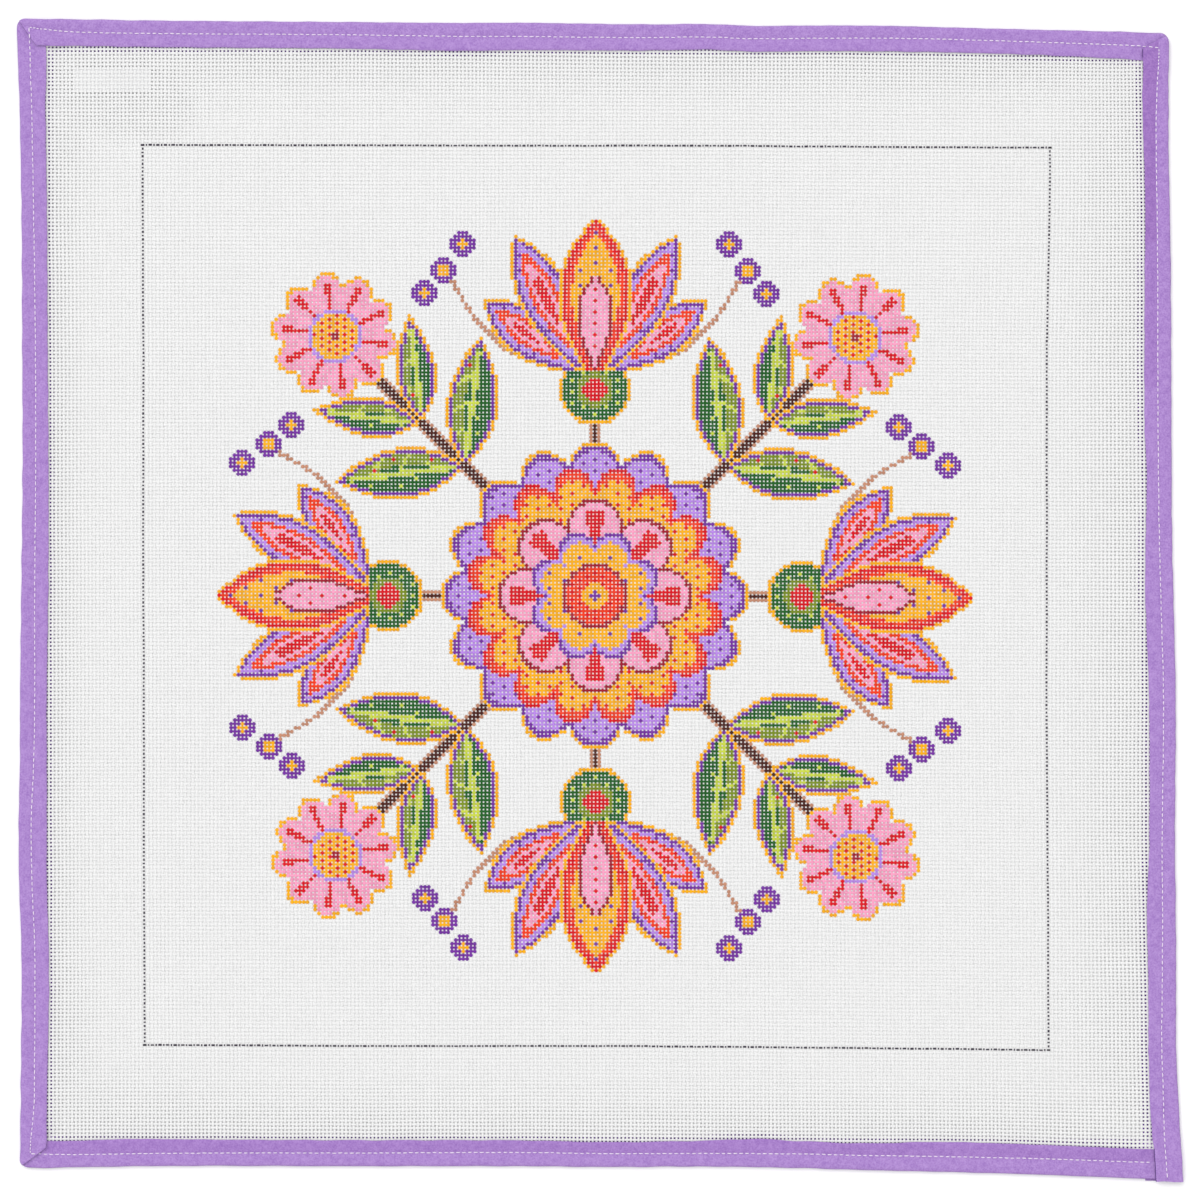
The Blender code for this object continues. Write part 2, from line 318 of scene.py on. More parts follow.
def blossom(u, v):
    """Large open blossom on an axis, from its outer petals to its cup."""
    outer = ((58.0, 3.0), 53.0, 33.0, 13.0)
    middle = ((57.0, 2.0), 27.0, 43.0, 14.0)
    for place, turn, length, width in (outer, middle):
        depth, along, across = petal(u, v, place, turn, length, width, 0.58, 0.8)
        bands(depth, ((0.0, YELLOW), (1.0, VIOLET), (2.0, LILAC), (3.4, ORANGE)))
        dots((depth > 3.4) & (along < 0.72), 3, RED)
        paint((depth > 4.6) & (along > 0.3) & (along < 0.8), PINK)
        paint((depth > 5.6) & (along > 0.38) & (along < 0.7), RED)
        dots((depth > 2.0) & (depth < 3.4), 4, VIOLET)
    depth, along, across = petal(u, v, (55.0, 0.0), 0.0, 45.0, 20.0, 0.55, 0.8)
    bands(depth, ((0.0, YELLOW), (1.0, RED), (2.2, ORANGE), (3.8, YELLOW)))
    dots(depth > 3.8, 4, VIOLET)
    dots((depth > 2.2) & (depth < 3.8), 2, RED)
    core, along, across = petal(u, v, (58.0, 0.0), 0.0, 27.0, 10.0, 0.6, 0.8)
    bands(core, ((0.0, CRIMSON), (1.0, PINK)))
    dots(core > 2.2, 3, RED)
    cup = np.where(u < 60.0, 9.5 - np.hypot(u - 54.5, v), -1.0)
    bands(cup, ((0.0, YELLOW), (1.0, GREEN)))
    dots(cup > 1.8, 3, LIME)
    bands(cup, ((4.6, OLIVE), (6.4, RED)))


def rosette():
    """Middle flower: rings of petals round a seeded disc."""
    edge = ring_edge(16, 41.0, 5.5, 0.8)
    bands(edge - RADIUS, ((0.0, YELLOW), (1.05, VIOLET), (2.6, LILAC)))
    dots((RADIUS < edge - 3.4) & (RADIUS > 30.0), 3, VIOLET)
    edge = ring_edge(16, 34.5, 6.0, 0.7, True)
    bands(edge - RADIUS, ((0.0, RED), (1.2, ORANGE), (3.2, YELLOW)))
    dots((RADIUS < edge - 1.4) & (RADIUS > 20.0), 3, RED)
    edge = ring_edge(8, 27.0, 6.5, 0.75)
    bands(edge - RADIUS, ((0.0, YELLOW), (1.05, CRIMSON), (2.4, PINK)))
    spoke = np.abs(np.sin(4.0 * ANGLE)) * RADIUS
    paint((RADIUS < edge - 4.2) & (spoke < 0.42 * RADIUS) & (RADIUS > 13.0), RED)
    edge = ring_edge(8, 17.5, 3.6, 0.8, True)
    bands(edge - RADIUS, ((0.0, VIOLET), (1.1, LILAC), (2.6, YELLOW)))
    dots(RADIUS < edge - 3.0, 4, VIOLET)
    bands(8.6 - RADIUS, ((0.0, CRIMSON), (1.2, ORANGE)))
    dots(RADIUS < 7.0, 2, RED)
    bands(3.2 - RADIUS, ((0.0, YELLOW), (2.0, VIOLET)))


def design():
    stalk(D, E, (38.0, 0.0), (92.0, 0.0), 1.6, 0.0, 0.8)
    leaf(D, E, (49.0, 0.6), 52.0, 34.0, 14.0)
    leaf(D, E, (65.0, 0.6), 38.0, 28.0, 11.0)
    daisy(D, E, (97.0, 0.0), 17.0, 10)
    stalk(S, T, (64.0, 22.0), (84.0, 38.0), 0.6, 1.6)
    berry(S, T, (86.0, 40.0), 3.6)
    berry(S, T, (80.0, 45.0), 3.2)
    berry(S, T, (93.0, 35.0), 3.2)
    stalk(S, T, (40.0, 0.0), (50.0, 0.0), 1.6, 0.0, 0.8)
    blossom(S, T)
    rosette()


design()

# Side curves, read densely once
DENSE = np.linspace(-303.0, 303.0, 1213)


def smooth_row(table, column, along):
    """Value of one column at a place along the side, on a smooth curve through the rows."""
    last = len(table) - 1
    k = 0
    while k < last - 1 and table[k + 1][0] < along:
        k += 1
    before = table[max(k - 1, 0)]
    here = table[k]
    there = table[k + 1]
    after = table[min(k + 2, last)]
    span = there[0] - here[0]
    t = min(max((along - here[0]) / span, 0.0), 1.0)
    slope_here = (there[column] - before[column]) / max(there[0] - before[0], 1.0) * span
    slope_there = (after[column] - here[column]) / max(after[0] - here[0], 1.0) * span
    t2 = t * t
    t3 = t2 * t
    return ((2 * t3 - 3 * t2 + 1) * here[column] + (t3 - 2 * t2 + t) * slope_here
            + (3 * t2 - 2 * t3) * there[column] + (t3 - t2) * slope_there)


TABLES = {"left": LEFT_SIDE, "top": TOP_SIDE, "right": RIGHT_SIDE, "bottom": BOTTOM_SIDE}
CURVES = {side: {column: np.array([smooth_row(table, column, a) for a in DENSE])
                 for column in (OUTER, WIDTH, SEAM)}
          for side, table in TABLES.items()}


def side_value(side, column, along):
    return np.interp(along, DENSE, CURVES[side][column])


def fall(t):
    """1 at t = 0 and 0 at t = 1, level at both ends."""
    t = np.clip(t, 0.0, 1.0)
    return 1.0 - t * t * (3.0 - 2.0 * t)


def canvas_lift(x, y):
    """Height of the canvas's underside."""
    left = x + side_value("left", OUTER, y)
    right = side_value("right", OUTER, y) - x
    bottom = y + side_value("bottom", OUTER, x)
    top = side_value("top", OUTER, x) - y
    near_top_left = fall(np.hypot(left, top) / CORNER_REACH)
    near_bottom_left = fall(np.hypot(left, bottom) / CORNER_REACH)
    near_bottom_right = fall(np.hypot(right, bottom) / CORNER_REACH)
    more = CORNER_LENGTH * (near_top_left + near_bottom_left + LOOSE_CORNER * near_bottom_right)
    rim = 0.0
    for side, gap in (("left", left), ("top", top), ("right", right), ("bottom", bottom)):
        inward = np.maximum(gap - HELD_DEPTH, 0.0)
        held = np.exp(-inward / (SETTLE_LENGTH[side] + more)) * fall(inward / FLAT_DEPTH)
        rim = np.maximum(rim, held)
    over_label = (fall((left - LABEL_HELD[0]) / LABEL_FALL)
                  * fall((top - LABEL_HELD[1]) / LABEL_FALL))
    return FLAT_LIFT + (RIM_LIFT - FLAT_LIFT) * np.maximum(rim, over_label)


def thread_curves(*rows):
    """Thread numbers, each with the place of that thread at each dense place along it."""
    return [(number, np.interp(DENSE, *zip(*points))) for number, points in rows]


COLUMN_CURVES = thread_curves((-138.5, OUTER_LEFT), (-119.0, FRAME_LEFT),
                              (119.0, FRAME_RIGHT), (140.5, OUTER_RIGHT))
ROW_CURVES = thread_curves((-141.5, OUTER_BOTTOM), (-119.0, FRAME_BOTTOM),
                           (119.0, FRAME_TOP), (138.5, OUTER_TOP))


def between_curves(number, along, curves):
    """Place of a thread, straight between the curves on its two sides."""
    counts, places = zip(*[(count, np.interp(along, DENSE, curve)) for count, curve in curves])
    out = None
    for k in range(len(curves) - 1):
        share = (number - counts[k]) / (counts[k + 1] - counts[k])
        value = places[k] + share * (places[k + 1] - places[k])
        out = value if out is None else np.where(number > counts[k], value, out)
    return out


WEAVE_RANDOM = np.random.default_rng(11)
WANDER = [(WEAVE_RANDOM.uniform(0.05, 0.16), WEAVE_RANDOM.uniform(0.0, 2.0 * math.pi),
           WEAVE_RANDOM.uniform(0.0, 2.0 * math.pi)) for k in range(5)]
WANDER_SIZE = 0.03


def wander(x, y, turn):
    """Small slow drift of the threads, in millimetres."""
    total = np.zeros_like(x)
    for rate, direction, phase in WANDER:
        total += np.sin(rate * (x * math.cos(direction + turn) + y * math.sin(direction + turn)) + phase)
    return WANDER_SIZE * total


def thread_place(u, v):
    """Plan position of fractional thread numbers."""
    guess_x = PITCH_U * u + START_U
    guess_y = PITCH_V * v + START_V
    x = between_curves(u, guess_y, COLUMN_CURVES)
    y = between_curves(v, guess_x, ROW_CURVES)
    return x + wander(x, y, 0.0), y + wander(x, y, 1.3)


def new_material(name, colour, roughness, specular=0.5):
    material = bpy.data.materials.new(name)
    material.use_nodes = True
    shader_input(material, "Base Color").default_value = (*colour, 1.0)
    shader_input(material, "Roughness").default_value = roughness
    shader_input(material, "Specular IOR Level").default_value = specular
    return material


def shader_input(material, name):
    return material.node_tree.nodes["Principled BSDF"].inputs[name]


def join(material, source, target):
    material.node_tree.links.new(source, target)


def add_node(material, kind, **values):
    """A new node; each value is a property, or an input's value or the output that feeds it."""
    node = material.node_tree.nodes.new(kind)
    for key, value in values.items():
        if key not in node.inputs:
            setattr(node, key, value)
        elif isinstance(value, bpy.types.NodeSocket):
            join(material, value, node.inputs[key])
        else:
            node.inputs[key].default_value = value
    return node


def add_math(material, operation, *values):
    """The result of a sum or product of outputs and numbers."""
    node = add_node(material, "ShaderNodeMath", operation=operation)
    for target, value in zip(node.inputs, values):
        if isinstance(value, float):
            target.default_value = value
        else:
            join(material, value, target)
    return node.outputs["Value"]


def add_bump(material, height, distance):
    bump = add_node(material, "ShaderNodeBump", Height=height, Distance=distance)
    join(material, bump.outputs["Normal"], shader_input(material, "Normal"))


def add_grain(material, scale, detail, low, high, bump=0.0):
    """Fine noise fixed to the object: roughness between two values, and relief in metres."""
    place = add_node(material, "ShaderNodeTexCoord").outputs["Object"]
    noise = add_node(material, "ShaderNodeTexNoise", Vector=place, Scale=scale, Detail=detail)
    height = noise.outputs["Fac"]
    span = add_node(material, "ShaderNodeMapRange", **{"Value": height, "To Min": low, "To Max": high})
    join(material, span.outputs["Result"], shader_input(material, "Roughness"))
    if bump:
        add_bump(material, height, bump)


# Thread surfaces: spread of the shades, specular level, lowest and highest roughness, relief
BARE_THREAD = (0.012, 0.35, 0.72, 0.95, 0.00008)
PAINTED_THREAD = (0.08, 0.15, 0.42, 0.78, 0.00006)


def make_thread_materials():
    """Three shades of each painted colour, and of bare cotton."""
    materials = []
    for number, (name, display) in enumerate(PAINTS):
        spread, specular, low, high, relief = BARE_THREAD if number == NONE else PAINTED_THREAD
        for shade in range(SHADES):
            factor = (1.0 + spread * (shade - 1)) / LIGHT
            colour = [min(part * factor, PALEST) for part in linear(*display)]
            material = new_material(f"{name}_{shade}", colour, 0.8, specular)
            add_grain(material, 2600.0, 3.0, low, high, relief)
            materials.append(material)
    return materials


def add_object(name, data):
    item = bpy.data.objects.new(name, data)
    bpy.context.scene.collection.objects.link(item)
    return item


def make_mesh(name, points, faces, materials, indices=None):
    """An object from arrays: points in millimetres, faces of one number of corners."""
    faces = np.asarray(faces, dtype=np.int32)
    mesh = bpy.data.meshes.new(name)
    mesh.vertices.add(len(points))
    mesh.vertices.foreach_set("co", (np.asarray(points) * MM).ravel())
    mesh.loops.add(faces.size)
    mesh.loops.foreach_set("vertex_index", faces.ravel())
    mesh.polygons.add(len(faces))
    mesh.polygons.foreach_set("loop_start", np.arange(0, faces.size, faces.shape[1], dtype=np.int32))
    for material in materials:
        mesh.materials.append(material)
    if indices is not None:
        mesh.polygons.foreach_set("material_index", np.asarray(indices, dtype=np.int32))
    mesh.update(calc_edges=True)
    mesh.shade_smooth()
    return add_object(name, mesh)


QUARTERS = ("canvas_sw", "canvas_nw", "canvas_se", "canvas_ne")
# A thread's normal leans this much to its sides and at its ends, for this much upwards
LEAN_SIDE = 0.25
LEAN_END = 0.09
LEAN_UP = 0.75
SHADE_RUN = 9
WIDTH_SPREAD = 0.03
# Sides at which the threads of each kind start and end
END_SIDES = (("bottom", "top"), ("left", "right"))


def weave_canvas():
    """The woven canvas, one joined mesh for each quarter: a strip of faces for every thread."""
    random = np.random.default_rng(23)
    I, J = np.meshgrid(np.arange(U_FIRST, U_LAST + 1), np.arange(V_FIRST, V_LAST + 1), indexing="ij")
    many_u, many_v = I.shape
    warp_over = np.where((I + J) % 2 == 1, 1.0, -1.0)
    colour = np.zeros(I.shape, dtype=int)
    inside = (np.abs(I) <= HALF) & (np.abs(J) <= HALF)
    colour[inside] = chart[I[inside] + HALF, J[inside] + HALF]
    wide = (
        np.repeat(random.normal(1.0, WIDTH_SPREAD, many_u)[:, None], many_v, axis=1),
        np.repeat(random.normal(1.0, WIDTH_SPREAD, many_v)[None, :], many_u, axis=0),
    )
    # Warp is kind 0 and weft kind 1; each crossing has a point at both sides and both ends
    points = np.zeros((2, many_u, many_v, 2, 2, 3))
    normals = np.zeros_like(points)
    for kind in (0, 1):
        width = np.clip(wide[kind] + random.normal(0.0, WIDTH_SPREAD, I.shape), 0.88, 1.12)
        up = warp_over if kind == 0 else -warp_over
        for a in (0, 1):
            for b in (0, 1):
                side = (2 * a - 1) * THREAD_HALF * width
                ahead = (2 * b - 1) * THREAD_HALF
                u = I + (side if kind == 0 else ahead)
                v = J + (ahead if kind == 0 else side)
                x, y = thread_place(u, v)
                points[kind, :, :, a, b, 0] = x
                points[kind, :, :, a, b, 1] = y
                points[kind, :, :, a, b, 2] = canvas_lift(x, y) + THREAD_MIDDLE + THREAD_RISE * up
                normals[kind, :, :, a, b, kind] = LEAN_SIDE * (2 * a - 1)
                normals[kind, :, :, a, b, 1 - kind] = LEAN_END * (2 * b - 1) * up
                normals[kind, :, :, a, b, 2] = LEAN_UP
    count = points[..., 0].size
    index = np.arange(count).reshape(2, many_u, many_v, 2, 2)
    points = points.reshape(-1, 3)
    normals = normals.reshape(-1, 3)
    owner = (I >= 0) * 2 + (J >= 0)
    shade = random.integers(0, SHADES, I.shape)
    runs_u = many_u // SHADE_RUN + 1
    runs_v = many_v // SHADE_RUN + 1
    bare_shade = (
        np.repeat(random.integers(0, SHADES, (many_u, runs_v)), SHADE_RUN, axis=1)[:, :many_v],
        np.repeat(random.integers(0, SHADES, (runs_u, many_v)), SHADE_RUN, axis=0)[:many_u],
    )

    def material_of(values, kind):
        return values * SHADES + np.where(values == NONE, bare_shade[kind], shade)

    kept = []
    extra = []

    def keep(corners, look, own, kind=0):
        """Keeps a set of faces; weft faces go round the other way than warp faces."""
        if kind == 1:
            corners = (corners[0], corners[3], corners[2], corners[1])
        kept.append((np.stack([c.ravel() for c in corners], axis=1), look.ravel(), own.ravel()))

    def add(new_points, new_normals):
        """Adds vertices, and returns their numbers."""
        first = count + sum(len(part[0]) for part in extra)
        extra.append((new_points, new_normals))
        return first + np.arange(len(new_points))

    for kind in (0, 1):
        on_top = warp_over > 0 if kind == 0 else warp_over < 0
        shown = np.where(on_top, colour, NONE)
        n = index[kind]
        if kind == 0:
            here = (slice(None), slice(0, -1))
            there = (slice(None), slice(1, None))
        else:
            here = (slice(0, -1), slice(None))
            there = (slice(1, None), slice(None))
        corners = (n[..., 0, 0], n[..., 1, 0], n[..., 1, 1], n[..., 0, 1])
        keep(corners, material_of(shown, kind), owner, kind)
        p0 = n[here + (0, 1)]
        p1 = n[here + (1, 1)]
        q0 = n[there + (0, 0)]
        q1 = n[there + (1, 0)]
        looks_here = material_of(colour, kind)[here]
        looks_there = material_of(colour, kind)[there]
        same = colour[here] == colour[there]
        own = owner[here]
        keep((p0[same], p1[same], q1[same], q0[same]), looks_here[same], own[same], kind)
        # Where the colour changes between two crossings, the thread is split half-way
        split = ~same
        m0, m1 = (add(0.5 * (points[p[split]] + points[q[split]]),
                      0.5 * (normals[p[split]] + normals[q[split]])) for p, q in ((p0, q0), (p1, q1)))
        keep((p0[split], p1[split], m1, m0), looks_here[split], own[split], kind)
        keep((m0, m1, q1[split], q0[split]), looks_there[split], own[split], kind)
        for last in (False, True):
            # The thread's end, out to the canvas's cut edge inside the tape
            place = -1 if last else 0
            picks = (slice(None), place) if kind == 0 else (place, slice(None))
            ends = [n[picks + (a, 1 if last else 0)] for a in (0, 1)]
            tips = []
            for end in ends:
                tip = points[end].copy()
                edge = side_value(END_SIDES[kind][last], OUTER, tip[:, kind]) - CANVAS_EDGE
                tip[:, 1 - kind] = edge if last else -edge
                tip[:, 2] = RIM_LIFT + THREAD_MIDDLE
                tips.append(add(tip, normals[end]))
            look = np.full(len(ends[0]), NONE * SHADES + 1)
            ring = (ends[0], ends[1], tips[1], tips[0])
            if last == (kind == 1):
                ring = ring[::-1]
            keep(ring, look, owner[picks])
    points, normals = (np.concatenate(parts) for parts in zip((points, normals), *extra))
    normals /= np.linalg.norm(normals, axis=1)[:, None]
    quads, looks, owners = (np.concatenate(parts) for parts in zip(*kept))
    pieces = []
    for number, name in enumerate(QUARTERS):
        mine = owners == number
        used, corners = np.unique(quads[mine], return_inverse=True)
        kinds, indices = np.unique(looks[mine], return_inverse=True)
        materials = [THREADS[k] for k in kinds]
        piece = make_mesh(name, points[used], corners.reshape(-1, 4), materials, indices.ravel())
        piece.data.normals_split_custom_set_from_vertices(normals[used])
        pieces.append(piece)
    return pieces


THREADS = make_thread_materials()
canvas_pieces = weave_canvas()


# Marks of the frame line, in thread spacings: half their length and half the ink's width
DASH_ALONG_ROWS = 0.47
DASH_ALONG_COLUMNS = 0.32
DOT = 0.2
DASH_INK = 0.24
DOT_INK = 0.29
INK_LIFT = 0.015


def make_frame_line():
    """Inked frame line: a dash where its own thread is on top, a dot where the other thread is."""
    random = np.random.default_rng(5)
    above = THREAD_MIDDLE + THREAD_RISE + INK_LIFT
    slope = 2.0 * THREAD_RISE / (1.0 - 2.0 * THREAD_HALF)
    points = []
    faces = []
    for line, along_u in ((-HALF, True), (-HALF, False), (HALF, True), (HALF, False)):
        dash = DASH_ALONG_ROWS if along_u else DASH_ALONG_COLUMNS
        drop = slope * (dash - THREAD_HALF)
        for k in range(-HALF, HALF + 1):
            own_on_top = (k + line) % 2 == (0 if along_u else 1)
            stretch = random.uniform(0.92, 1.06)
            ink = (DASH_INK if own_on_top else DOT_INK) * random.uniform(0.85, 1.12)
            drift = random.uniform(-0.03, 0.03)
            if own_on_top:
                steps = ((-dash * stretch, -drop), (-THREAD_HALF, 0.0),
                         (THREAD_HALF, 0.0), (dash * stretch, -drop))
            else:
                steps = ((-DOT * stretch, 0.0), (DOT * stretch, 0.0))
            first = len(points)
            for step, rise in steps:
                for side in (-ink, ink):
                    u, v = k + step, line + drift + side
                    if not along_u:
                        u, v = v, u
                    x, y = thread_place(np.array([u]), np.array([v]))
                    z = canvas_lift(x, y) + above + rise
                    points.append((x[0], y[0], z[0]))
            for a in range(first, len(points) - 2, 2):
                ring = (a, a + 2, a + 3, a + 1)
                faces.append(ring if along_u else ring[::-1])
    ink_material = new_material("frame_ink", lit(32, 12, 44), 0.6)
    add_grain(ink_material, 1800.0, 2.0, 0.5, 0.85, 0.00004)
    return make_mesh("frame_line", np.array(points), faces, [ink_material])


frame_line = make_frame_line()


def make_label():
    """Blank white label, with rounded corners and edges, against the back of the canvas."""
    outline = []
    signs = ((1, 1), (-1, 1), (-1, -1), (1, -1))
    for turn, (sign_x, sign_y) in enumerate(signs):
        for step in range(5):
            angle = math.radians(90.0 * turn + 22.5 * step)
            outline.append((sign_x * (0.5 * LABEL_SIZE[0] - LABEL_CORNER),
                            sign_y * (0.5 * LABEL_SIZE[1] - LABEL_CORNER),
                            LABEL_CORNER * math.cos(angle), LABEL_CORNER * math.sin(angle)))
    levels = ((0.0, 0.9), (0.25, 1.0), (0.75, 1.0), (1.0, 0.9))
    points = []
    for share, size in levels:
        for reach_x, reach_y, round_x, round_y in outline:
            points.append((LABEL_CENTRE[0] + reach_x + size * round_x,
                           LABEL_CENTRE[1] + reach_y + size * round_y,
                           LABEL_TOP - LABEL_THICK * (1.0 - share)))
    count = len(outline)
    mesh = bpy.data.meshes.new("blank_label")
    faces = [tuple(range(count - 1, -1, -1))]
    for level in range(len(levels) - 1):
        for k in range(count):
            a = level * count + k
            b = level * count + (k + 1) % count
            faces.append((a, b, b + count, a + count))
    faces.append(tuple(range((len(levels) - 1) * count, len(levels) * count)))
    mesh.from_pydata([[c * MM for c in p] for p in points], [], faces)
    satin = new_material("label_satin", lit(234, 234, 236), 0.6)
    add_grain(satin, 900.0, 4.0, 0.45, 0.75, 0.00005)
    mesh.materials.append(satin)
    return add_object("blank_label", mesh)


blank_label = make_label()

# Folded tape: the sides in the order in which they were sewn on
# Columns: name, axis, travel along it, inward direction across, slope of the mitre's fold
BOTTOM = ("bottom", 0, -1.0, 1.0, 0.0)
LEFT = ("left", 1, 1.0, 1.0, 0.77)
TOP = ("top", 0, 1.0, -1.0, 0.71)
RIGHT = ("right", 1, -1.0, -1.0, 0.58)

# First and last needle hole along each side, and how many short stitches follow the corner
SEAM_ENDS = {
    "bottom": (284.2, -293.7, 0),
    "left": (-285.4, 295.4, 5),
    "top": (-294.3, 288.5, 4),
    "right": (284.3, -298.2, 5),
}
STITCH = 3.04
SHORT_STITCH = 1.75
SHORTISH_STITCH = 2.6
SHORTISH_COUNT = 4
SHEAR_FADE = 26.0
STRIP_RAISE = 0.75
STRIP_END = 0.5
RAW_START = 299.0
RAW_END = -300.1
CORNER_ROUND = 4.6
FOLD_CORNER = 0.6
LIP_RUN = 0.7
LIP_STATIONS = (0.0, 0.1, 0.32, 0.7)
STATION = 1.55

# Section of the folded tape, from the raw edge turned under the front leg to the one over the back
# Columns: part of the width, part of the seam's depth, further depth, height, share of the front
SECTION = (
    (0.0, 0.0, 2.2, 2.06, 1.0),
    (0.0, 1.0, 0.0, 1.98, 1.0),
    (0.5, 0.5, 0.0, 2.03, 1.0),
    (1.0, 0.0, -1.6, 2.06, 1.0),
    (1.0, 0.0, -0.5, 2.04, 1.0),
    (1.0, 0.0, -0.12, 2.12, 1.0),
    (1.0, 0.0, 0.0, 2.34, 1.0),
    (1.0, 0.0, -0.08, 2.58, 1.0),
    (1.0, 0.0, -0.34, 2.78, 1.0),
    (1.0, 0.0, -0.85, 2.90, 1.0),
    (1.0, 0.0, -1.9, 2.95, 1.0),
    (0.6, 0.4, 0.0, 2.86, 1.0),
    (0.3, 0.7, 0.0, 2.74, 1.0),
    (0.0, 1.0, 1.1, 2.66, 1.0),
    (0.0, 1.0, 0.5, 2.59, 1.0),
    (0.0, 1.0, 0.0, 2.50, 1.0),
    (0.0, 1.0, -0.5, 2.59, 1.0),
    (0.0, 1.0, -1.1, 2.67, 1.0),
    (0.0, 0.62, 0.0, 2.79, 1.0),
    (0.0, 0.4, 0.0, 2.90, 1.0),
    (0.0, 0.0, 1.5, 2.90, 1.0),
    (0.0, 0.0, 0.8, 2.74, 1.0),
    (0.0, 0.0, 0.32, 2.42, 0.9),
    (0.0, 0.0, 0.08, 2.0, 0.75),
    (0.0, 0.0, 0.0, 1.5, 0.5),
    (0.0, 0.0, 0.05, 1.0, 0.25),
    (0.0, 0.0, 0.26, 0.6, 0.1),
    (0.0, 0.0, 0.7, 0.3, 0.0),
    (0.0, 0.0, 1.4, 0.18, 0.0),
    (0.0, 0.6, 0.0, 0.15, 0.0),
    (0.0, 1.0, -0.5, 0.18, 0.0),
    (0.0, 1.0, 0.0, 0.40, 0.0),
    (0.0, 1.0, 0.5, 0.18, 0.0),
    (0.5, 0.5, 0.0, 0.14, 0.0),
    (1.0, 0.0, 1.7, 0.15, 0.0),
    (1.0, 0.0, 3.0, 0.18, 0.0),
    (1.0, 0.0, 3.35, 0.28, 0.0),
    (1.0, 0.0, 3.4, 0.38, 0.0),
    (1.0, 0.0, 3.32, 0.50, 0.0),
    (1.0, 0.0, 2.9, 0.60, 0.0),
    (0.5, 0.5, 0.0, 0.62, 0.0),
    (0.0, 1.0, 0.0, 0.60, 0.0),
    (0.0, 0.0, 2.2, 0.64, 0.0),
)
# Parts of the section, by its rows
TOP_FACE = slice(7, 24)
INNER_FACE = 39
OUTER_FOLD = slice(22, 26)
LAP_EDGE = slice(4, 8)
INNER_HALF = slice(4, 14)

# How strips lie on each other: at a corner, the next strip is raised and the one below pressed
FRONT_UNDER = 2.0
BACK_RAISE = 0.6
LAP_PRESS = 1.35
RAISED_FOR = 12.0
PRESSED_FOR = 15.0
LAP_RAISED_FOR = 17.0
LAP_LENGTH = 18.0

# Back leg: shortened by this much, and longer again towards two corners
BACK_SHORT = {"left": 0.9, "top": 0.8, "right": 0.0, "bottom": 0.9}
WIDE_END = {"left": -1.0, "top": 1.0, "right": 1.0, "bottom": -1.0}
CORNER_EXTRA = 1.7
CORNER_EXTRA_REACH = 90.0

# Unevenness of the front leg, and the dents that the stitches pull in it
PUFF = 0.055
SWELL = 0.06
PINCH = 0.035
HOLE_DENT = 0.24
HOLE_REACH = 0.6
EDGE_WANDER = 0.11
EDGE_WAVE = 0.10

# Where painted shade goes on the tape: stations from the strip's ends, and places along the right side
END_STATIONS = 12
FOLD_STATIONS = 8
SHADED_TO = 185.0
DIM_TO = 110.0


def start_and_end(side):
    """Coordinates along a side at which its strip starts and ends: its neighbours' outer edges."""
    name = side[0]

    def edge(neighbour, along):
        return float(side_value(neighbour, OUTER, along))

    if name == "bottom":
        return RAW_START, STRIP_END - edge("left", -293.0)
    if name == "left":
        return -edge("bottom", -298.0), edge("top", -298.0) - STRIP_END
    if name == "top":
        return -edge("left", 298.0), edge("right", 290.0) - STRIP_END
    return edge("top", 293.0), RAW_END


def needle_holes(name):
    """Places of the needle holes along a side, from its first to its last."""
    first, last, short = SEAM_ENDS[name]
    length = abs(last - first)
    steps = [SHORT_STITCH] * short
    if short:
        steps += [SHORTISH_STITCH] * SHORTISH_COUNT
    rest = length - sum(steps)
    count = round(rest / STITCH)
    steps += [rest / count] * count
    runs = np.concatenate([[0.0], np.cumsum(steps)])
    return first + math.copysign(1.0, last - first) * runs


def strip_stations(side):
    """Distances from the strip's start of its sections, and how near each is to a needle hole."""
    name, axis, travel, inward, slope = side
    start, end = start_and_end(side)
    length = abs(end - start)
    holes = []
    for place in needle_holes(name):
        run = (place - start) * travel
        seam = float(side_value(name, SEAM, place))
        if slope and run < SHEAR_FADE + slope * seam:
            sheared = (run - slope * seam) / (1.0 - slope * seam / SHEAR_FADE)
            run = min(sheared, run)
        holes.append(run)
    runs = list(LIP_STATIONS) if slope else [0.0]
    marks = [0.0] * len(runs)

    def step_to(last, stop):
        """Even steps up to a place, with the place itself where stop is 1."""
        base = runs[-1]
        gap = last - base
        count = max(int(math.ceil(gap / STATION)), 1)
        for k in range(1, count + stop):
            runs.append(base + gap * k / count)
            marks.append(0.0)

    step_to(holes[0], 0)
    for k, hole in enumerate(holes):
        runs.append(hole)
        marks.append(1.0)
        if k + 1 < len(holes):
            runs.append(0.5 * (hole + holes[k + 1]))
            marks.append(0.0)
    step_to(length, 1)
    return np.array(runs), np.array(marks), start, length


def round_corner(a, b, radius):
    """Moves points near a square corner, a and b from its two edges, onto a rounded one."""
    near = (a < radius) & (b < radius)
    pa = np.where(near, radius - a, 0.0)
    pb = np.where(near, radius - b, 0.0)
    reach = np.hypot(pa, pb)
    scale = np.where(reach > 1e-9, np.maximum(pa, pb) / np.maximum(reach, 1e-9), 1.0)
    return np.where(near, radius - pa * scale, a), np.where(near, radius - pb * scale, b)


def smooth_noise(random, count, short, long):
    """Sum of sine waves of lengths between short and long, as a function of two places."""
    waves = []
    for k in range(count):
        rate = 2.0 * math.pi / random.uniform(short, long)
        waves.append((rate, random.uniform(-0.9, 0.9), random.uniform(0.0, 2.0 * math.pi)))

    def noise(run, depth):
        total = 0.0
        for rate, lean, phase in waves:
            total = total + np.sin(rate * (run + lean * depth) + phase)
        return total / math.sqrt(count)
    return noise


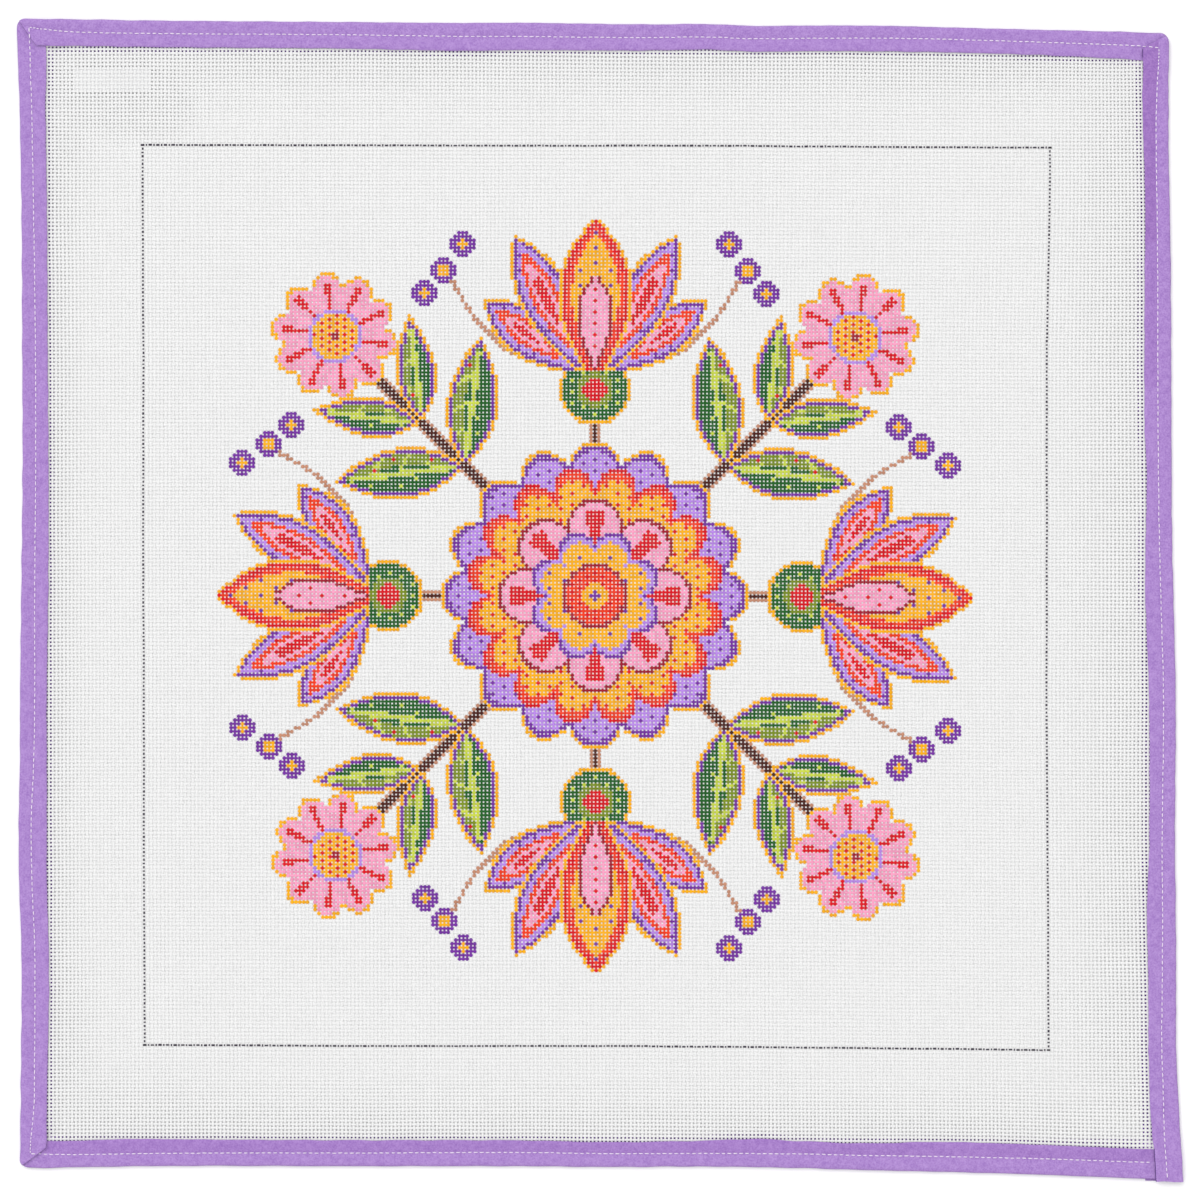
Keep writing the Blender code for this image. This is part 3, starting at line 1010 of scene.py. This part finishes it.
JOIN_START = -174.1
JOIN_LEAN = 1.5


def build_strip(side, random):
    """Points of one side's strip: stations by section points, in millimetres."""
    name, axis, travel, inward, slope = side
    runs, marks, start, length = strip_stations(side)
    of_width, of_seam, plus, height, front = (np.array(c)[None, :] for c in zip(*SECTION))
    run = runs[:, None]
    hole = marks[:, None]
    place = start + travel * run
    outer = side_value(name, OUTER, place)
    width = side_value(name, WIDTH, place)
    seam = side_value(name, SEAM, place)
    puff = smooth_noise(random, 7, 7.0, 26.0)
    swell = smooth_noise(random, 5, 30.0, 95.0)
    edge = smooth_noise(random, 5, 9.0, 38.0)
    inner = smooth_noise(random, 5, 8.0, 30.0)
    lean = smooth_noise(random, 4, 14.0, 50.0)
    width = width + EDGE_WANDER * inner(run, 0.0)
    depth = of_width * width + of_seam * seam + plus
    # The back leg is wider towards the top left and bottom right corners
    near_corner = fall((300.0 + WIDE_END[name] * place) / CORNER_EXTRA_REACH)
    is_back = (front == 0.0) & (plus > 1.5) & (of_width == 1.0)
    extra = CORNER_EXTRA * near_corner if name in ("right", "bottom") else 0.0
    depth = depth + np.where(is_back, extra - BACK_SHORT[name] * (1.0 - near_corner), 0.0)
    to_end = length - run
    raise_by = np.zeros_like(run)
    under = np.zeros_like(run)
    if slope:
        raise_by = fall((run - RAISED_FOR) / LAP_LENGTH)
    else:
        under = LAP_PRESS * fall((run - PRESSED_FOR) / 12.0)
    if name == "right":
        raise_by = np.maximum(raise_by, fall((to_end - LAP_RAISED_FOR) / LAP_LENGTH))
    else:
        under = np.maximum(under, LAP_PRESS * fall((to_end - PRESSED_FOR) / 12.0))
    z = np.repeat(height, len(runs), axis=0)
    is_top = np.zeros_like(height, dtype=bool)
    is_top[:, TOP_FACE] = True
    away = np.abs(depth - seam)
    ripple = PUFF * puff(run, depth) + SWELL * swell(run, depth)
    pinch = np.where(hole > 0.5, -1.0, 1.0) * np.exp(-away / 1.7)
    ripple = ripple * (0.35 + 0.65 * np.clip(away / 3.0, 0.0, 1.0)) + PINCH * pinch
    dent = -HOLE_DENT * hole * np.exp(-(away / HOLE_REACH) ** 2)
    z = z + np.where(is_top, (ripple + dent) * np.clip((z - 2.0) / 0.6, 0.0, 1.0), 0.0)
    if name == "top":
        # Slanting seam where two lengths of the tape were joined
        across = place - (JOIN_START + JOIN_LEAN * depth)
        ridge = 0.09 * np.exp(-((across - 2.2) / 1.8) ** 2) + 0.05 * np.exp(-(across / 6.0) ** 2)
        z = z + np.where(is_top, ridge - 0.09 * np.exp(-(across / 0.7) ** 2), 0.0)
    # A strip that lies under the next one is pressed flatter, with its back leg lifted
    z = np.where(front >= 0.5, z - under * 0.62 * np.maximum(z - FRONT_UNDER - 0.1, 0.0), z)
    z = np.where(front < 0.5, z + np.minimum(under, 1.0) * (BACK_RAISE - 0.12 * (z - 0.15)), z)
    z = z + STRIP_RAISE * raise_by * front
    if slope:
        lip_height = FRONT_UNDER + STRIP_RAISE + 0.12
        grow = np.clip(run / LIP_RUN, 0.0, 1.0)
        grow = np.sqrt(1.0 - (1.0 - grow) ** 2)
        z = np.where(front >= 1.0, lip_height + (z - lip_height) * grow, z)
    # Plan: the fold's slant, then the rounded corners
    reach = run + slope * depth * np.clip(1.0 - run / SHEAR_FADE, 0.0, 1.0)
    if slope:
        inner_gap = width - depth
        a, b = round_corner(run + 0.0 * depth, np.maximum(inner_gap, 0.0), FOLD_CORNER)
        is_front = (front >= 1.0) & (inner_gap >= 0.0)
        reach = np.where(is_front, reach + (a - run), reach)
        depth = np.where(is_front, depth - (b - inner_gap), depth)
        reach, depth = round_corner(reach, depth, CORNER_ROUND)
    if name == "right":
        fray = 0.12 * lean(depth * 3.0, 0.0) * fall(to_end / 2.0)
        reach = reach + fray - 0.02 * depth * fall(to_end / 20.0)
    else:
        gap = length + STRIP_END - reach
        gap, depth = round_corner(gap, depth, CORNER_ROUND)
        reach = length + STRIP_END - gap
    along = start + travel * reach
    wave = EDGE_WAVE * edge(run, 0.0) * np.exp(-depth / 5.0)
    from_middle = outer + wave - depth
    points = np.zeros(depth.shape + (3,))
    points[..., axis] = along
    points[..., 1 - axis] = -inward * from_middle
    points[..., 2] = z
    return points


# Tones of the tape's cotton, the plain lilac first and then painted shade for the back leg seen through the
# holes, the folds, the lapped edges and the inner halves: name, lighter and darker display values of its
# mottling
PLAIN, PAINTED_HOLE_SHADE, PAINTED_FOLD_SHADE, PAINTED_LAP_SHADOW, SHADED, PAINTED_DIM_SHADE = range(6)
COTTONS = (
    ("lilac_cotton", (191, 154, 223), (162, 121, 200)),
    ("hole_shade_cotton", (132, 22, 200), (90, 20, 138)),
    ("fold_shade_cotton", (160, 117, 194), (134, 92, 170)),
    ("lap_shadow_cotton", (96, 52, 140), (70, 32, 112)),
    ("shaded_cotton", (176, 133, 208), (149, 104, 187)),
    ("dim_shade_cotton", (184, 144, 217), (156, 113, 194)),
)


WEAVE_WAVE = {"Scale": 820.0, "Distortion": 1.2, "Detail": 1.0, "bands_direction": "DIAGONAL"}
CLOUD_SHARE = 0.4
SPECK_SHARE = 0.6


def make_tape_material(name, light, dark):
    """Lilac cotton cut on the bias: fine slanting weave, slightly mottled."""
    material = new_material(name, light, 0.85, 0.3)
    shader_input(material, "Sheen Weight").default_value = 0.12
    place = add_node(material, "ShaderNodeTexCoord").outputs["Object"]
    turned = add_node(material, "ShaderNodeMapping", Vector=place, Scale=(1.0, -1.0, 1.0)).outputs["Vector"]
    cloud = add_node(material, "ShaderNodeTexNoise", Vector=place, Scale=300.0, Detail=3.0, Roughness=0.6)
    speck = add_node(material, "ShaderNodeTexNoise", Vector=place, Scale=1150.0, Detail=2.0).outputs["Fac"]
    wave_a = add_node(material, "ShaderNodeTexWave", Vector=place, **WEAVE_WAVE)
    wave_b = add_node(material, "ShaderNodeTexWave", Vector=turned, **WEAVE_WAVE)
    weave = add_math(material, "MULTIPLY", wave_a.outputs["Fac"], wave_b.outputs["Fac"])
    specks = add_math(material, "MULTIPLY", speck, SPECK_SHARE)
    blend = add_math(material, "MULTIPLY_ADD", cloud.outputs["Fac"], CLOUD_SHARE, specks)
    ramp = add_node(material, "ShaderNodeValToRGB", Fac=blend)
    for element, position, colour in zip(ramp.color_ramp.elements, (0.36, 0.64), (dark, light)):
        element.position = position
        element.color = (*colour, 1.0)
    join(material, ramp.outputs["Color"], shader_input(material, "Base Color"))
    add_bump(material, add_math(material, "ADD", weave, speck), 0.00009)
    return material


def make_tape():
    """The whole folded tape as one joined mesh of four strips."""
    random = np.random.default_rng(41)
    points = []
    faces = []
    shades = []
    count = 0
    for side in (BOTTOM, LEFT, TOP, RIGHT):
        strip = build_strip(side, random)
        stations, size = strip.shape[:2]
        n = count + np.arange(stations * size).reshape(stations, size)
        # Strips run clockwise seen from above, so this order faces out of the folded tape
        corners = (n[:-1, :-1], n[:-1, 1:], n[1:, 1:], n[1:, :-1])
        faces.append(np.stack([c.ravel() for c in corners], axis=1))
        shade = np.full((stations - 1, size - 1), PLAIN)
        # Painted shade: the back leg's upper face, seen through the canvas's holes, is a darker violet
        shade[END_STATIONS:-END_STATIONS, INNER_FACE - 1:] = PAINTED_HOLE_SHADE
        # Painted shade: a darker band along the outer fold
        shade[:, OUTER_FOLD] = PAINTED_FOLD_SHADE
        # Painted shade: a darker line along the fold where a sloped strip starts
        if side[4]:
            shade[:2, TOP_FACE] = PAINTED_FOLD_SHADE
        # Painted shade: the bottom strip's inner half is darker
        if side[0] == "bottom":
            shade[:, INNER_HALF] = PAINTED_DIM_SHADE
        if side[0] == "right":
            # Painted shade: the right strip's inner half is darker towards the top, in two steps
            places = strip[:-1, 0, 1]
            shade[places > DIM_TO, INNER_HALF] = PAINTED_DIM_SHADE
            shade[places > SHADED_TO, INNER_HALF] = SHADED
            # Painted shadow: a dark line along the right strip's inner edge where it laps the bottom strip,
            # and near its folded start
            lapped = int(round(LAP_LENGTH / STATION))
            shade[-lapped:, LAP_EDGE] = PAINTED_LAP_SHADOW
            shade[:FOLD_STATIONS, LAP_EDGE] = PAINTED_LAP_SHADOW
        shades.append(shade.ravel())
        points.append(strip.reshape(-1, 3))
        count += stations * size
    return np.concatenate(points), np.concatenate(faces), np.concatenate(shades)


tape_points, tape_faces, tape_shades = make_tape()
tape_cottons = [make_tape_material(name, lit(*light), lit(*dark)) for name, light, dark in COTTONS]
tape = make_mesh("bias_tape", tape_points, tape_faces, tape_cottons, tape_shades)
tape_tree = BVHTree.FromPolygons([Vector(p) for p in tape_points.tolist()], tape_faces.tolist())


def surface_height(x, y, from_below):
    """Height of the tape's surface at a place, in millimetres."""
    start = Vector((x, y, -5.0 if from_below else 12.0))
    down = Vector((0.0, 0.0, 1.0 if from_below else -1.0))
    hit = tape_tree.ray_cast(start, down)[0]
    return hit.z if hit is not None else (0.3 if from_below else 2.6)


def seam_place(side, along):
    name, axis, travel, inward, slope = side
    outer = float(side_value(name, OUTER, along))
    seam = float(side_value(name, SEAM, along))
    across = -inward * (outer - seam)
    return np.array((along, across) if axis == 0 else (across, along))


FRONT_THREAD = 0.26
BACK_THREAD = 0.18
FRONT_STITCH = ((0.0, 0.45, -0.34), (0.14, 0.86, -0.06), (0.36, 1.0, 0.05),
                (0.64, 1.0, 0.05), (0.86, 0.86, -0.06), (1.0, 0.45, -0.34))
BACK_STITCH = ((0.0, 0.5, 0.2), (0.25, 0.9, 0.0), (0.75, 0.9, 0.0), (1.0, 0.5, 0.2))


def make_stitches(name, from_below, shape, sides, radius):
    """One joined mesh of short thread tubes, each between two needle holes."""
    random = np.random.default_rng(17)
    points = []
    faces = []
    for side in (BOTTOM, LEFT, TOP, RIGHT):
        holes = needle_holes(side[0])
        for here, there in zip(holes[:-1], holes[1:]):
            span = abs(there - here)
            inset = min(0.5, 0.16 * span) * random.uniform(0.75, 1.25)
            drift = random.uniform(-0.09, 0.09)
            turn = random.uniform(-0.06, 0.06)
            fat = radius * random.uniform(0.9, 1.1)
            a = seam_place(side, here)
            b = seam_place(side, there)
            ahead = (b - a) / span
            aside = np.array((-ahead[1], ahead[0]))
            middle = 0.5 * (a + b) + aside * drift
            length = span - 2.0 * inset
            ahead, aside = ahead + aside * turn, aside - ahead * turn
            heights = [surface_height(*(middle + ahead * length * t), from_below)
                       for t in (-0.25, 0.0, 0.25)]
            if from_below:
                level = max(min(heights) - 0.35 * fat, fat + 0.01)
            else:
                level = max(heights) + 0.45 * fat
            first = len(points)
            for t, size, rise in shape:
                centre = middle + ahead * ((t - 0.5) * length)
                for q in range(sides):
                    angle = 2.0 * math.pi * q / sides
                    x, y = centre + aside * (fat * size * math.cos(angle))
                    points.append((x, y, level + rise + fat * size * math.sin(angle)))
            for r in range(len(shape) - 1):
                for q in range(sides):
                    p = first + r * sides + q
                    n = first + r * sides + (q + 1) % sides
                    faces.append((p, p + sides, n + sides, n))
    return make_mesh(name, np.array(points), faces, [STITCH_THREAD])


def make_stitch_material():
    colour = [min(part, PALEST) for part in lit(250, 236, 255)]
    material = new_material("pale_thread", colour, 0.5, 0.5)
    add_grain(material, 3000.0, 2.0, 0.4, 0.7, 0.00006)
    return material


STITCH_THREAD = make_stitch_material()
front_stitches = make_stitches("topstitch_front", False, FRONT_STITCH, 6, FRONT_THREAD)
back_stitches = make_stitches("topstitch_back", True, BACK_STITCH, 5, BACK_THREAD)

# Each piece rides on the root body, and the CAD parts that the pieces replace are hidden
for piece in canvas_pieces:
    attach(piece, "root")
    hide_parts("canvas")
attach(frame_line, "root")
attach(blank_label, "root")
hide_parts("label")
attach(tape, "root")
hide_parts("binding")
for piece in (front_stitches, back_stitches):
    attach(piece, "root")


# Light: strength of the white sky, and place, width and power of the key light
SKY_STRENGTH = 1.09
KEY_PLACE = (-7.2, 9.0, 10.8)
KEY_SIZE = 12.6
KEY_POWER = 972.0


def make_floor():
    reach = 6000.0
    corners = ((-reach, -reach, 0.0), (reach, -reach, 0.0), (reach, reach, 0.0), (-reach, reach, 0.0))
    material = new_material("pale_floor", (0.92, 0.92, 0.92), 0.9, 0.2)
    add_grain(material, 3.0, 2.0, 0.85, 0.95)
    floor = make_mesh("floor", corners, [(0, 1, 2, 3)], [material])


def make_light():
    """An even white sky, and a wide key light far off at the upper left."""
    lamp = bpy.data.lights.new("key", "AREA")
    lamp.shape = "DISK"
    lamp.size = KEY_SIZE
    lamp.energy = KEY_POWER
    key = add_object("key", lamp)
    key.location = KEY_PLACE
    key.rotation_euler = (-Vector(KEY_PLACE)).to_track_quat("-Z", "Y").to_euler()
    world = bpy.data.worlds.new("soft_sky")
    world.use_nodes = True
    back = world.node_tree.nodes["Background"]
    back.inputs["Color"].default_value = (1.0, 1.0, 1.0, 1.0)
    back.inputs["Strength"].default_value = SKY_STRENGTH
    bpy.context.scene.world = world


def make_camera():
    """Straight down, far enough back that the photograph's frame is filled."""
    view_side = 0.6191
    lens = 150.0
    sensor = 36.0
    level = 0.0015
    camera_data = bpy.data.cameras.new("camera")
    camera_data.lens = lens
    camera_data.sensor_width = sensor
    camera_data.clip_start = 0.05
    camera_data.clip_end = 50.0
    camera = add_object("camera", camera_data)
    camera.location = (0.0, 0.0, view_side * lens / sensor + level)
    bpy.context.scene.camera = camera


make_floor()
make_light()
make_camera()
bpy.context.scene.view_settings.view_transform = "Standard"
